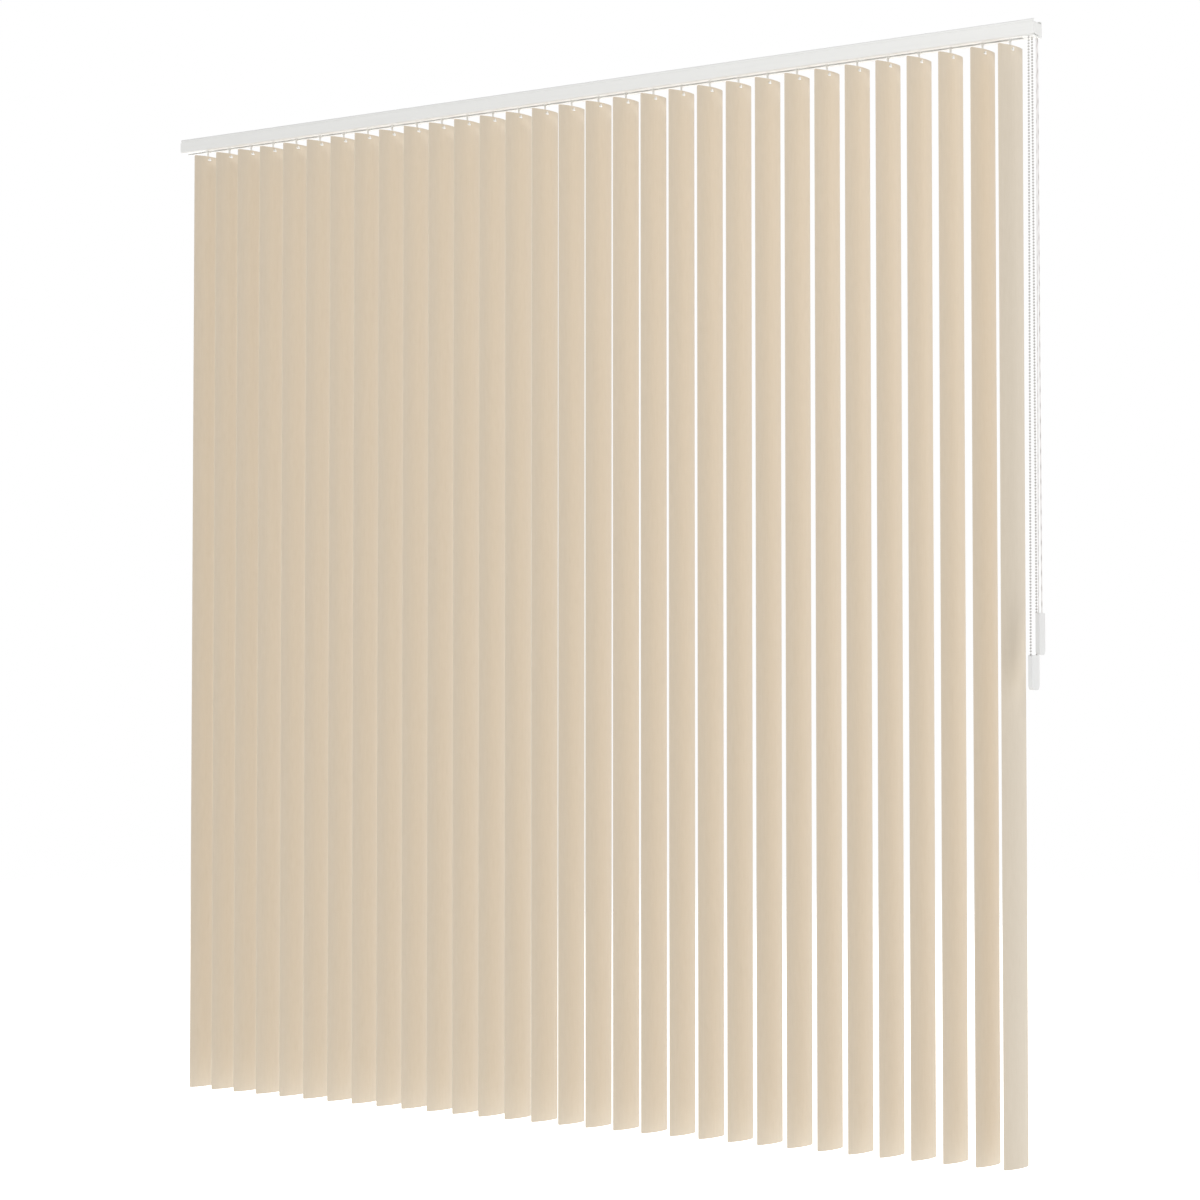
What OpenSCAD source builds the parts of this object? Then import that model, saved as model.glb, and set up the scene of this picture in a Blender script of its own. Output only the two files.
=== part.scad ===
// Vertical blind with a slotted aluminium headrail, hanging curved vanes that tilt together,
// a bead chain for the tilt and a cord loop for drawing.
// X runs along the headrail towards the controls, -Y faces the room, Z is up.
// The origin is the middle of the headrail's top face, which lies against the ceiling.

/* [Vanes] */
// Number of vanes
vane_count = 31; // [8:1:31]
// Distance between neighbouring vanes
vane_pitch = 82; // [76:1:86]
// Distance between the first few vanes, at the end away from the controls
start_gap = 78.5; // [76:0.5:86]
// Number of gaps that have the first spacing
start_gaps = 3; // [0:1:5]
// Distance between the last two vanes, at the controls
end_gap = 70; // [64:1:86]
// Width of a vane, measured straight across its curve
vane_chord = 89; // [70:1:100]
// Depth of a vane's curve
vane_sagitta = 8; // [5:0.5:11]
// Thickness of a vane's sheet
vane_thick = 1; // [0.6:0.1:1.4]
// Length of a vane from top to bottom
vane_drop = 2610; // [1700:10:2900]
// Direction of a vane's width, turned from the headrail's length towards the window
vane_tilt = 74; // [60:1:110]
// Radius of a vane's corners
vane_corner = 3; // [1:0.5:6]
// Gap between the headrail and the tops of the vanes
vane_gap = 14.5; // [9:0.5:18]

/* [Hook slot] */
// Length of the punched slot in a vane
slot_length = 12; // [9:0.5:16]
// Height of the punched slot
slot_height = 5; // [4.5:0.1:6]
// Depth of the slot's middle below the top of the vane
slot_depth = 9.5; // [8:0.5:14]
// Width of the hanger's hook
hook_width = 4; // [3:0.5:5]
// Thickness of the hook's tip
hook_tip = 3; // [2:0.1:3.6]

/* [Headrail] */
// Depth of the headrail from front to back
rail_depth = 50; // [50:1:56]
// Height of the headrail
rail_height = 38; // [38:1:46]
// Wall of the aluminium section
rail_wall = 1.4; // [1.2:0.1:1.8]
// Radius of the section's outer corners
rail_corner = 4; // [2:0.5:5]
// Depth of the channel in the top of the headrail
channel_depth = 6.5; // [6:0.5:7]
// Width of the lips that turn in over the channel
lip_width = 6; // [5:0.5:8]
// Width of the slot in the bottom of the headrail
gap_width = 12.4; // [12.4:0.2:20]
// Distance of the carriers' tracks from the middle of the headrail
track_middle = 12.7; // [12.5:0.1:15]
// Height of the tracks and of the slot's turned-up edges
track_height = 3; // [2:0.1:3.5]
// Distance from the headrail's end to the first vane
left_margin = 80.5; // [76:0.5:120]
// Distance from the last vane to the headrail's end at the controls
right_margin = 68.5; // [64:0.5:120]
// Radius of the groove along the front and back faces
groove_radius = 0.8; // [0.5:0.1:1]

/* [Ceiling clips] */
// Number of ceiling clips
clip_count = 4; // [2:2:6]
// Distance between neighbouring clips
clip_spacing = 700; // [200:10:780]
// Length of a clip along the headrail
clip_length = 30; // [20:1:50]
// Thickness of the clip's spring steel
clip_thick = 1.2; // [0.8:0.1:1.5]
// Width of the clip's hooks under the lips
clip_hook = 3; // [2:0.5:4]
// Radius of the clip's screw hole
clip_hole = 2.25; // [1.75:0.25:2.75]

/* [Carriers] */
// Length of a carrier along the headrail
carrier_length = 28; // [26:1:32]
// Thickness of a carrier's end walls
carrier_wall = 3; // [2:0.5:4]
// Thickness of a carrier's floor
carrier_floor = 4; // [3:0.5:5]
// Height of a carrier's end walls above its floor
carrier_rise = 17; // [15:0.5:18]
// Radius of the carrier's wheels
roller_radius = 4; // [3:0.5:4.5]
// Width of the carrier's wheels
roller_width = 3; // [2:0.5:3.5]
// Radius of the axles of the carrier's wheels
axle_radius = 1.5; // [1:0.1:1.8]
// Radius of the collar below a carrier
collar_radius = 5; // [4:0.5:7]
// Length of the collar that shows below the headrail
collar_show = 3; // [1:0.5:5]
// Radius of a hanger's stem
stem_radius = 2.5; // [2:0.1:3]
// Thickness of the links that space the carriers
link_thick = 1; // [0.6:0.1:1.5]
// Width of the links that space the carriers
link_width = 6; // [4:0.5:6.5]

/* [Tilt drive] */
// Distance of the tilt rod from the middle of the headrail, towards the room
rod_offset = 7.5; // [7:0.5:8]
// Depth of the tilt rod's axis below the top of the headrail
rod_depth = 22; // [21.5:0.5:23]
// Radius of the tilt rod
rod_radius = 2.2; // [1.8:0.1:2.4]
// Outer radius of the worm sleeves on the rod
worm_radius = 3.2; // [3:0.1:3.4]
// Depth of the thread grooves in the worm sleeves
worm_groove = 0.5; // [0.3:0.1:0.6]
// Radius of the circle on which the bead chain turns round its wheel
wheel_radius = 10; // [9:0.5:10]
// Width of the chain wheel
wheel_width = 8; // [7:0.5:9]

/* [Bead chain] */
// Diameter of a bead
bead_diameter = 5; // [4:0.1:5.2]
// Distance between neighbouring beads
bead_pitch = 7; // [6:0.1:9]
// Diameter of the string inside the beads
string_diameter = 1.6; // [1:0.1:2]
// Distance of the chain from the headrail's end
chain_inset = 15; // [15:0.5:16]
// Depth of the top of the chain weight below the top of the headrail
chain_fall = 1479; // [800:1:1600]

/* [Weights] */
// Width of the chain weight
chain_weight_width = 44; // [44:1:50]
// Height of the chain weight
chain_weight_height = 81; // [70:1:110]
// Radius of the loop that the chain makes in its weight
chain_loop = 18; // [14:0.5:18]
// Width of the cord weight
cord_weight_width = 34; // [28:1:40]
// Height of the cord weight
cord_weight_height = 98; // [80:1:120]
// Thickness of both weights
weight_thick = 10; // [9:0.5:14]
// Radius of the weights' top corners
weight_top_corner = 4; // [2:0.5:6]
// Radius of the weights' bottom corners
weight_bottom_corner = 13; // [8:0.5:13.5]

/* [Control end] */
// Thickness of the end cap's plate
cap_thick = 3; // [2:0.5:5]
// Length of the control housing inside the headrail
housing_length = 36; // [34:1:42]
// Depth of the control housing's sloping nose below the headrail, at the headrail's end
guide_drop = 2; // [2:0.5:6]
// Height of the seam between the housing and its nose
seam_height = 3; // [1:0.5:3]
// Depth of the seam into the housing
seam_depth = 4; // [2:0.5:4]
// Outer radius of the cord guide pulleys
pulley_radius = 6; // [5.8:0.1:6.2]
// Width of the pulleys
pulley_width = 4; // [3.6:0.1:4.2]
// Radius of the pulleys' pins
pin_radius = 1.5; // [1.2:0.1:1.7]

/* [Fits] */
// Radial clearance of stems, pins and rods that turn
run_gap = 0.08; // [0.05:0.01:0.1]
// Clearance of pieces that slide or plug into one another
slide_gap = 0.3; // [0.2:0.05:0.4]
// Clearance of a seat that carries weight
seat_gap = 0.05; // [0.02:0.01:0.1]
// Clearance round cords and beads in their guides
cord_gap = 0.4; // [0.3:0.05:0.5]

/* [Hidden] */
$fn = 48;
eps = 0.01;

// Places along the headrail
gap_total = start_gaps * start_gap + (vane_count - 2 - start_gaps) * vane_pitch + end_gap;
rail_length = left_margin + gap_total + right_margin;
rail_left = -rail_length / 2;
rail_right = rail_length / 2;
first_vane = rail_left + left_margin;
function gap_after(i) = i <= start_gaps ? start_gap : (i == vane_count - 1 ? end_gap : vane_pitch);
function vane_x(i) = i <= 1 ? first_vane : vane_x(i - 1) + gap_after(i - 1);

// Levels in the headrail
half_depth = rail_depth / 2;
web_bottom = -(channel_depth + rail_wall);
cavity_half = half_depth - rail_wall;
cavity_bottom = -rail_height + rail_wall;
lip_edge = half_depth - lip_width;
track_top = cavity_bottom + track_height;
slot_edge = gap_width / 2 + rail_wall / 2;
inner_corner = rail_corner - rail_wall;

// Vane and hanger
vane_top = -rail_height - vane_gap;
vane_bottom = vane_top - vane_drop;
arc_radius = (vane_chord * vane_chord / 4 + vane_sagitta * vane_sagitta) / (2 * vane_sagitta);
slot_middle = vane_top - slot_depth;
hook_top = slot_middle + slot_height / 2 - seat_gap;
hook_lip = 1.6;
hook_rise = 2.5;
hook_back = 3.2;
hook_shoulder = 1;
hook_slope = 3;
neck_height = 3;

// Carrier and tilt drive
axle_height = 2.5;
link_inset = 1.5;
pinion_rise = 3;
rod_cover = 4;
rod_hole_gap = 0.5;
roller_z = track_top + seat_gap + roller_radius;
floor_bottom = roller_z - axle_height;
floor_top = floor_bottom + carrier_floor;
wall_top = floor_top + carrier_rise;
collar_bottom = -rail_height - collar_show;
rod_y = -rod_offset;
rod_z = -rod_depth;
pinion_radius = rod_offset - worm_radius - slide_gap;
pinion_top = rod_z + pinion_rise;
carrier_front = rod_y - rod_cover;
carrier_back = 7.5;
worm_length = carrier_length - 2 * carrier_wall - 2 * slide_gap;
rod_hole = rod_radius + rod_hole_gap;
link_top = wall_top - link_inset;
rod_groove = 0.6;
rod_play = 1;
rod_end_gap = 5;
rod_start = rail_left + cap_thick + rod_play;
rod_end = rail_right - rod_end_gap;

// Chain and its wheel
bead_radius = bead_diameter / 2;
chain_x = rail_right - chain_inset;
chain_loop_z = -chain_fall - chain_weight_height / 2;
chain_middle_y = rod_y;
chamber_radius = wheel_radius + bead_radius + slide_gap;
wheel_floor = wheel_radius - bead_radius - slide_gap;
wheel_rim = wheel_radius + bead_radius - slide_gap;
wheel_groove = bead_radius + cord_gap;

// Drawing cord: two strands in the headrail, and a loop that hangs from the controls.
// The loop's points are [y, z], at one distance from the headrail's end.
cord_radius = 1.25;
cord_inset = 7;
cord_x = rail_right - cord_inset;
cord_front_y = 9;
cord_back_y = 17;
cord_z = -20;
cord_turn = 5;
cord_middle_y = (cord_front_y + cord_back_y) / 2;
cord_exit = -rail_height - guide_drop;
cord_weight_top = -1381;
cord_loop_z = -1422;
cord_loop = 10;
hanging_down = [[cord_front_y, cord_exit], [cord_front_y, -80], [8.5, -300], [7, -700], [5, -1050],
    [3.5, -1312], [cord_middle_y - cord_loop, cord_weight_top]];
hanging_turn = [for (a = [0 : 22.5 : 180])
    [cord_middle_y - cord_loop * cos(a), cord_loop_z - cord_loop * sin(a)]];
hanging_up = [for (i = [len(hanging_down) - 1 : -1 : 0])
    [2 * cord_middle_y - hanging_down[i][0], hanging_down[i][1]]];
hanging_route = concat(hanging_down, hanging_turn, hanging_up);
cord_sides = 8;
clamp_wall = 1.2;
clamp_length = 12;

// End pieces and pulleys
inner_left = rail_left + cap_thick;
housing_left = rail_right - housing_length;
plug_side = cavity_half - slide_gap;
nose_inset = 0.8;
seam_end = 6;
pulley_x = cord_x - cord_turn;
pulley_z = cord_z - cord_turn;
pulley_floor = cord_turn - cord_radius - seat_gap;
pocket_side = pulley_width / 2 + slide_gap;
pocket_low = pulley_z - pulley_radius - 2 * slide_gap;
pocket_high = cord_z + cord_radius + 4 * slide_gap;
return_turn = (cord_back_y - cord_front_y) / 2;
rim_height = 1;
return_rim = return_turn + rim_height;
return_floor = return_turn - cord_radius - seat_gap;
return_inset = 17;
return_x = inner_left + return_inset;
shelf_thick = 3;
shelf_margin = 2;
shelf_end = return_x + return_rim + shelf_margin;
shelf_reach = pocket_side + shelf_thick;
socket_length = 12;
socket_wall = 2.5;
cap_inset = 1;
cap_corner = 1;
cap_top = web_bottom - cap_inset;
cap_bottom = cavity_bottom + cap_inset;
pin_seat = 1;
pin_front = cord_front_y - pocket_side - pin_seat;
pin_length = cord_back_y - cord_front_y + 2 * pocket_side + 2 * pin_seat;

// Names
function two_digits(i) = i < 10 ? str("0", i) : str(i);
function vane_name(i) = str("vane_", two_digits(i));

// Colours
vane_colour = [0.87, 0.80, 0.71];
rail_colour = [0.90, 0.90, 0.89];
plastic_colour = [0.96, 0.96, 0.95];
steel_colour = [0.70, 0.71, 0.72];
cord_colour = [0.93, 0.92, 0.90];

// A block between two corners
module block(low, high) {
    translate(low) cube(high - low);
}

// A flat rectangle between two corners, with round corners below and above
module round_box(low, high, low_r, high_r) {
    difference() {
        translate(low) square(high - low);
        for (side = [0, 1]) {
            x = side == 0 ? low[0] : high[0];
            turn = side == 0 ? 1 : -1;
            if (low_r > 0) corner_waste([x, low[1]], [turn, 1], low_r);
            if (high_r > 0) corner_waste([x, high[1]], [turn, -1], high_r);
        }
    }
}

// The sharp part of a corner outside its round
module corner_waste(at, into, r) {
    translate(at) difference() {
        translate([into[0] * r / 2 - into[0] * eps, into[1] * r / 2 - into[1] * eps])
            square([r + 2 * eps, r + 2 * eps], center = true);
        translate([into[0] * r, into[1] * r]) circle(r);
    }
}

// A cylinder along X, Y or Z that starts at a point
module rod_x(at, r, h) {
    translate(at) rotate([0, 90, 0]) cylinder(r = r, h = h);
}
module rod_y_axis(at, r, h) {
    translate(at) rotate([-90, 0, 0]) cylinder(r = r, h = h);
}
module rod_z_axis(at, r, h) {
    translate(at) cylinder(r = r, h = h);
}

// Extrudes a section drawn in Y and Z along X
module along_x(from, to) {
    translate([from, 0, 0]) rotate([90, 0, 90]) linear_extrude(to - from) children();
}

// Headrail section, drawn in Y and Z
module rail_section() {
    difference() {
        round_box([-half_depth, -rail_height], [half_depth, 0], rail_corner, rail_corner);
        round_box([-cavity_half, cavity_bottom], [cavity_half, web_bottom], inner_corner, 0);
        round_box([-cavity_half, -channel_depth], [cavity_half, -rail_wall], 0, inner_corner);
        translate([-lip_edge, -channel_depth]) square([2 * lip_edge, channel_depth + 1]);
        translate([-gap_width / 2, -rail_height - 1]) square([gap_width, rail_wall + 2]);
        for (side = [-1, 1])
            translate([side * half_depth, web_bottom + rail_wall / 2]) circle(groove_radius);
    }
    for (y = [-track_middle, -slot_edge, slot_edge, track_middle])
        translate([y - rail_wall / 2, cavity_bottom - rail_wall / 2])
            square([rail_wall, track_height + rail_wall / 2]);
}

module headrail() {
    color(rail_colour) difference() {
        along_x(inner_left, rail_right) rail_section();
        block([housing_left - slide_gap, -cavity_half, -rail_height - 1],
              [rail_right + 1, cavity_half, track_top + 1]);
    }
}

// Spring clips that hold the headrail's lips from the channel in its top
module clip_section() {
    plate = lip_edge - slide_gap;
    hook_z = -rail_wall - slide_gap;
    translate([-plate, -clip_thick]) square([2 * plate, clip_thick]);
    for (side = [-1, 1]) scale([side, 1]) {
        translate([plate - clip_thick, hook_z - clip_thick])
            square([clip_thick, clip_thick - hook_z]);
        translate([plate - clip_thick, hook_z - clip_thick])
            square([clip_thick + clip_hook, clip_thick]);
    }
}

module ceiling_clips() {
    color(steel_colour) for (k = [0 : clip_count - 1]) {
        x = (k - (clip_count - 1) / 2) * clip_spacing;
        difference() {
            along_x(x - clip_length / 2, x + clip_length / 2) clip_section();
            rod_z_axis([x, 0, -clip_thick - 1], clip_hole, clip_thick + 2);
        }
    }
}

// End cap away from the controls: a plate, a fork for the return pulley and a socket for the rod
module end_cap() {
    from = inner_left - eps;
    color(plastic_colour) difference() {
        union() {
            along_x(rail_left, inner_left)
                round_box([-half_depth + rail_wall / 2, cap_bottom],
                          [half_depth - rail_wall / 2, cap_top], cap_corner, cap_corner);
            for (level = [cord_z + pocket_side, cord_z - pocket_side - shelf_thick])
                block([from, cord_middle_y - return_rim - shelf_margin, level],
                      [shelf_end, plug_side, level + shelf_thick]);
            for (edge = [-plug_side, plug_side - shelf_thick / 2])
                block([from, edge, cap_bottom + rail_corner],
                      [shelf_end, edge + shelf_thick / 2, cap_top - shelf_margin]);
            rod_x([from, rod_y, rod_z], rod_radius + socket_wall, socket_length);
        }
        rod_x([inner_left, rod_y, rod_z], rod_radius + run_gap, socket_length + 1);
        rod_z_axis([return_x, cord_middle_y, cord_z - shelf_reach - 1], pin_radius + seat_gap,
                   2 * shelf_reach + 2);
    }
}

// Side of the control housing's nose, drawn in X and Z: it slopes down towards the headrail's end
module nose_side() {
    top = cavity_bottom;
    polygon([[housing_left, top], [housing_left, -rail_height],
        [rail_right, cord_exit], [rail_right, top]]);
}

// Control housing: a plug in the headrail's end, with a nose below it that guides chain and cord
module control_housing() {
    nose = plug_side - nose_inset;
    color(plastic_colour) difference() {
        union() {
            along_x(housing_left, rail_right)
                round_box([-plug_side, -rail_height], [plug_side, web_bottom - slide_gap], inner_corner, 0);
            translate([0, nose, 0]) rotate([90, 0, 0]) linear_extrude(2 * nose) nose_side();
        }
        rod_x([chain_x - wheel_width / 2 - slide_gap, rod_y, rod_z], chamber_radius,
              wheel_width + 2 * slide_gap);
        rod_x([housing_left - 1, rod_y, rod_z], rod_radius + run_gap, rod_end + rod_play - housing_left + 1);
        for (side = [-1, 1])
            rod_z_axis([chain_x, chain_middle_y + side * wheel_radius, cord_exit - 1],
                       bead_radius + cord_gap + slide_gap, rod_z - cord_exit + 1);
        block([pulley_x - pulley_radius - slide_gap, cord_front_y - pocket_side, pocket_low],
              [pulley_x + pulley_radius + slide_gap, cord_back_y + pocket_side, pocket_high]);
        for (y = [cord_front_y, cord_back_y]) {
            rod_x([housing_left - 1, y, cord_z], cord_radius + cord_gap, pulley_x - housing_left);
            rod_z_axis([cord_x, y, cord_exit - 1], cord_radius + cord_gap, pulley_z - cord_exit + 1);
        }
        rod_y_axis([pulley_x, pin_front, pulley_z], pin_radius + seat_gap, pin_length + rod_hole_gap);
        block([rail_right - seam_depth, -plug_side - 1, -rail_height],
              [rail_right + 1, seam_end, -rail_height + seam_height]);
    }
}

// One carrier at the origin: floor, two end walls, collar, axles and wheels
module carrier() {
    half = carrier_length / 2;
    axle_x = half - carrier_wall - roller_radius - 2 * slide_gap;
    difference() {
        union() {
            block([-half, -carrier_back, floor_bottom], [half, carrier_back, floor_top]);
            for (x = [-half, half - carrier_wall])
                block([x, carrier_front, floor_bottom], [x + carrier_wall, carrier_back, wall_top]);
            rod_z_axis([0, 0, collar_bottom], collar_radius, floor_top - collar_bottom);
            for (x = [-axle_x, axle_x]) {
                rod_y_axis([x, -track_middle, roller_z], axle_radius, 2 * track_middle);
                for (y = [-track_middle, track_middle])
                    rod_y_axis([x, y - roller_width / 2, roller_z], roller_radius, roller_width);
            }
        }
        rod_z_axis([0, 0, collar_bottom - 1], stem_radius + run_gap, floor_top - collar_bottom + 2);
        rod_x([-half - 1, rod_y, rod_z], rod_hole, carrier_length + 2);
    }
}

module carriers() {
    color(plastic_colour) for (i = [1 : vane_count]) translate([vane_x(i), 0, 0]) carrier();
}

// Links that keep the carriers apart when the blind is drawn
module spacer_links() {
    half = carrier_length / 2;
    color(steel_colour) for (i = [1 : vane_count - 1])
        block([vane_x(i) + half, carrier_back - link_width, link_top - link_thick],
              [vane_x(i + 1) - half, carrier_back, link_top]);
}

// Clamp that ties the leading carrier to the cord
module cord_clamp() {
    reach = cord_radius + clamp_wall;
    from = first_vane - carrier_length / 2;
    color(plastic_colour) difference() {
        block([from, carrier_back, cord_z - reach],
              [from + clamp_length, cord_front_y + reach, cord_z + reach]);
        rod_x([from - 1, cord_front_y, cord_z], cord_radius + seat_gap, clamp_length + 2);
    }
}

// Tilt rod with three drive grooves along it
module tilt_rod() {
    color(steel_colour) along_x(rod_start, rod_end) translate([rod_y, rod_z]) difference() {
        circle(rod_radius);
        for (a = [0 : 120 : 240]) rotate(a) translate([rod_radius, 0]) circle(rod_groove);
    }
}

// Worm sleeves, one between the end walls of each carrier
module worm_section() {
    grooves = 4;
    step = worm_length / (grooves + 1);
    difference() {
        translate([rod_radius + run_gap, -worm_length / 2])
            square([worm_radius - rod_radius - run_gap, worm_length]);
        for (k = [1 : grooves])
            translate([worm_radius - worm_groove, -worm_length / 2 + k * step - step / 4])
                square([worm_groove + 1, step / 2]);
    }
}

module worm_sleeves() {
    color(plastic_colour) for (i = [1 : vane_count])
        translate([vane_x(i), rod_y, rod_z]) rotate([0, 90, 0]) rotate_extrude() worm_section();
}

// Chain wheel with a groove that clears the beads
module chain_wheel() {
    half = wheel_width / 2;
    color(plastic_colour) translate([chain_x, rod_y, rod_z]) rotate([0, 90, 0]) rotate_extrude()
        difference() {
            translate([rod_radius + run_gap, -half]) square([wheel_rim - rod_radius - run_gap, wheel_width]);
            translate([wheel_floor, -wheel_groove]) square([wheel_rim, 2 * wheel_groove]);
        }
}

// A straight run of beads on their string, up from the origin along Z
module bead_run(run) {
    steps = round(run / bead_pitch);
    rotate_extrude() intersection() {
        union() {
            square([string_diameter / 2, run]);
            for (k = [0 : steps]) translate([0, k * run / steps]) circle(bead_radius);
        }
        translate([0, -bead_diameter]) square([bead_diameter, run + 2 * bead_diameter]);
    }
}

// Half a turn of beads round the origin, above it in the plane of Y and Z, between two end beads
module bead_turn(r) {
    steps = round(PI * r / bead_pitch);
    inside = asin(bead_radius / 2 / r);
    rotate([90, 0, 90]) {
        rotate(inside) rotate_extrude(angle = 180 - 2 * inside) translate([r, 0]) circle(string_diameter / 2);
        for (k = [1 : steps - 1]) rotate(180 * k / steps) translate([r, 0, 0]) sphere(bead_radius);
    }
}

module bead_chain() {
    fall = rod_z - chain_loop_z;
    spread = chain_loop - wheel_radius;
    lean = atan(spread / fall);
    color(plastic_colour) translate([chain_x, chain_middle_y, 0]) union() {
        for (side = [-1, 1])
            translate([0, side * chain_loop, chain_loop_z]) rotate([side * lean, 0, 0])
                bead_run(sqrt(fall * fall + spread * spread));
        translate([0, 0, rod_z]) bead_turn(wheel_radius);
        translate([0, 0, chain_loop_z]) mirror([0, 0, 1]) bead_turn(chain_loop);
    }
}

// Half of a hanging weight at the origin, its top at Z 0, with half of the channel for its loop
module weight_half(width, height, loop, loop_z, channel, from, to) {
    difference() {
        along_x(from, to)
            round_box([-width / 2, -height], [width / 2, 0], weight_bottom_corner, weight_top_corner);
        for (side = [-1, 1]) rod_z_axis([0, side * loop, loop_z], channel, 1 - loop_z);
        translate([0, 0, loop_z]) rotate([90, 180, 90]) rotate_extrude(angle = 180)
            translate([loop, 0]) circle(channel);
    }
}

module chain_weight_part(from, to) {
    color(plastic_colour) translate([chain_x, chain_middle_y, -chain_fall])
        weight_half(chain_weight_width, chain_weight_height, chain_loop, -chain_weight_height / 2,
                    bead_radius + cord_gap, from, to);
}
module chain_weight() {
    chain_weight_part(-weight_thick / 2, 0);
}
module chain_weight_cover() {
    chain_weight_part(0, weight_thick / 2);
}

module cord_weight_part(from, to) {
    color(plastic_colour) translate([cord_x, cord_middle_y, cord_weight_top])
        weight_half(cord_weight_width, cord_weight_height, cord_loop, cord_loop_z - cord_weight_top,
                    cord_radius + cord_gap, from, to);
}
module cord_weight() {
    cord_weight_part(-weight_thick / 2, 0);
}
module cord_weight_cover() {
    cord_weight_part(0, weight_thick / 2);
}

// Section of a grooved pulley, drawn from its axis outwards
module pulley_section(rim, floor_r, turn) {
    difference() {
        translate([pin_radius + run_gap, -pulley_width / 2])
            square([rim - pin_radius - run_gap, pulley_width]);
        translate([turn, 0]) circle(turn - floor_r);
        translate([turn, floor_r - turn]) square([rim, 2 * (turn - floor_r)]);
    }
}

module guide_pulley(y) {
    color(plastic_colour) translate([pulley_x, y, pulley_z]) rotate([-90, 0, 0]) rotate_extrude()
        pulley_section(pulley_radius, pulley_floor, cord_turn);
}
module guide_pulley_front() {
    guide_pulley(cord_front_y);
}
module guide_pulley_back() {
    guide_pulley(cord_back_y);
}
module guide_pulley_pin() {
    color(steel_colour) rod_y_axis([pulley_x, pin_front, pulley_z], pin_radius, pin_length);
}

module return_pulley() {
    color(plastic_colour) translate([return_x, cord_middle_y, cord_z]) rotate_extrude()
        pulley_section(return_rim, return_floor, return_turn);
}
module return_pulley_pin() {
    color(steel_colour) rod_z_axis([return_x, cord_middle_y, cord_z - shelf_reach], pin_radius,
        2 * shelf_reach);
}

// Cord inside the headrail: round the return pulley, along the headrail and over the guide pulleys
module rail_cord() {
    color(cord_colour) union() {
        translate([return_x, cord_middle_y, cord_z]) rotate(90) rotate_extrude(angle = 180)
            translate([return_turn, 0]) circle(cord_radius);
        for (y = [cord_front_y, cord_back_y]) {
            rod_x([return_x, y, cord_z], cord_radius, pulley_x - return_x);
            translate([pulley_x, y, pulley_z]) rotate([90, 0, 0]) rotate_extrude(angle = 90)
                translate([cord_turn, 0]) circle(cord_radius);
            rod_z_axis([cord_x, y, cord_exit], cord_radius, pulley_z - cord_exit);
        }
    }
}

// A ring of points across the hanging route at its point i
function route_step(p, i) = p[min(i + 1, len(p) - 1)] - p[max(i - 1, 0)];
function across(p, i) =
    i == 0 || i == len(p) - 1 ? [i == 0 ? 1 : -1, 0]
    : [-route_step(p, i)[1], route_step(p, i)[0]] / norm(route_step(p, i));
function ring(p, i) = [for (k = [0 : cord_sides - 1])
    let (a = 360 * (k + 0.5) / cord_sides, out = across(p, i) * cord_radius * cos(a))
    [cord_radius * sin(a), p[i][0] + out[0], p[i][1] + out[1]]];

// Tube along the hanging route
module route_tube(p) {
    last = len(p) - 1;
    points = [for (i = [0 : last]) each ring(p, i)];
    sides = [for (i = [0 : last - 1], k = [0 : cord_sides - 1])
        let (n = (k + 1) % cord_sides, a = i * cord_sides, b = a + cord_sides)
        [a + k, a + n, b + n, b + k]];
    start_face = [for (k = [cord_sides - 1 : -1 : 0]) k];
    end_face = [for (k = [0 : cord_sides - 1]) last * cord_sides + k];
    polyhedron(points, concat([start_face, end_face], sides));
}

module traverse_cord() {
    color(cord_colour) translate([cord_x, 0, 0]) route_tube(hanging_route);
}

// Curved section of a vane, its width along X and its round side towards -Y
module vane_section() {
    reach = vane_chord / 2 + 2;
    intersection() {
        translate([0, arc_radius - vane_sagitta]) difference() {
            circle(arc_radius + vane_thick / 2);
            circle(arc_radius - vane_thick / 2);
        }
        translate([-reach, -vane_sagitta - vane_thick]) square([2 * reach, vane_sagitta + 3 * vane_thick]);
    }
}

// Outline of a vane seen along Y, with the slot for its hook
module vane_outline() {
    straight = slot_length - slot_height;
    difference() {
        round_box([-vane_chord / 2, vane_bottom], [vane_chord / 2, vane_top], vane_corner, vane_corner);
        translate([-straight / 2, slot_middle - slot_height / 2]) square([straight, slot_height]);
        for (side = [-1, 1]) translate([side * straight / 2, slot_middle]) circle(slot_height / 2);
    }
}

module vane_sheet() {
    cut = vane_sagitta + 10;
    intersection() {
        translate([0, 0, vane_bottom - 1]) linear_extrude(vane_drop + 2) vane_section();
        translate([0, cut, 0]) rotate([90, 0, 0]) linear_extrude(2 * cut) vane_outline();
    }
}

// Side of the hook, drawn in Y and Z: down behind the vane, through its slot and up in front
module hook_side() {
    neck = vane_top + neck_height;
    inside = -vane_sagitta + vane_thick / 2 + slide_gap;
    outside = -vane_sagitta - vane_thick / 2 - slide_gap;
    polygon([[-stem_radius, neck], [stem_radius, neck], [stem_radius, vane_top],
        [inside + hook_back, hook_top + hook_shoulder], [inside + hook_back, hook_top - hook_tip],
        [outside - hook_lip, hook_top - hook_tip], [outside - hook_lip, hook_top + hook_rise],
        [outside, hook_top + hook_rise], [outside, hook_top], [inside, hook_top],
        [inside, vane_top - hook_slope], [-stem_radius, vane_top]]);
}

module hanger() {
    rod_z_axis([0, 0, vane_top], stem_radius, pinion_top - vane_top);
    rod_z_axis([0, 0, floor_top + seat_gap], pinion_radius, pinion_top - floor_top - seat_gap);
    along_x(-hook_width / 2, hook_width / 2) hook_side();
}

module vane(i) {
    translate([vane_x(i), 0, 0]) rotate([0, 0, vane_tilt]) {
        color(vane_colour) vane_sheet();
        color(plastic_colour) hanger();
    }
}

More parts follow.
